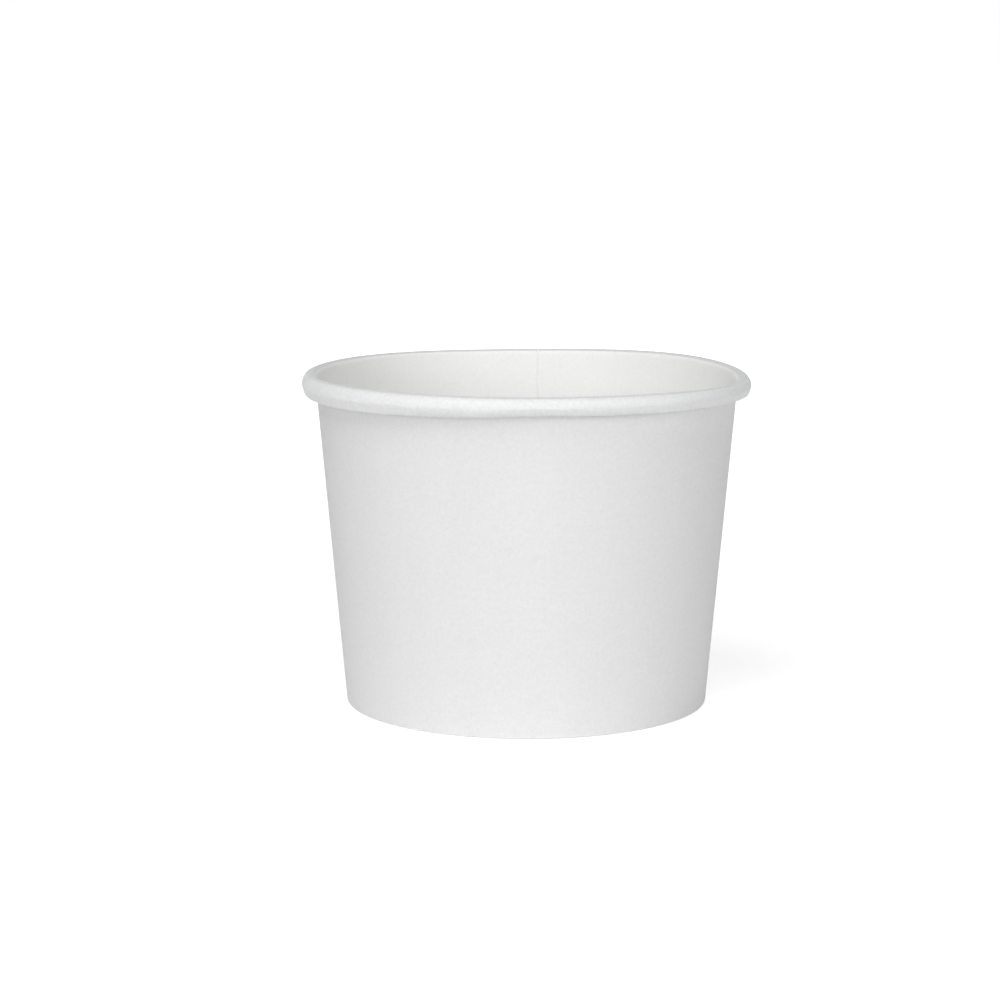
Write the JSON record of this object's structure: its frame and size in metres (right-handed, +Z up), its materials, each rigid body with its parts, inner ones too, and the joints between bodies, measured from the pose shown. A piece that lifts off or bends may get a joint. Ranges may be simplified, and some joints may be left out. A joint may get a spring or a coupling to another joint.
{
  "type": "paper sundae cup",
  "caption": "Round tapered paper cup with a thick rolled rim, a glued lap seam inside the back wall and a base set up inside a folded foot.",
  "frame": {"origin": "centre of the foot, on the surface that the cup stands on", "axes": "+Z up the cup's axis towards its mouth; +Y towards the side with the lap seam; +X to the right in the picture"},
  "size_m": [0.096, 0.096, 0.0713],
  "materials": {
    "side_paper": "matte coated board",
    "base_paper": "matte coated board"
  },
  "bodies": {
    "root": {"side_wall": "side_paper", "base_disc": "base_paper"}
  },
  "joints": []
}
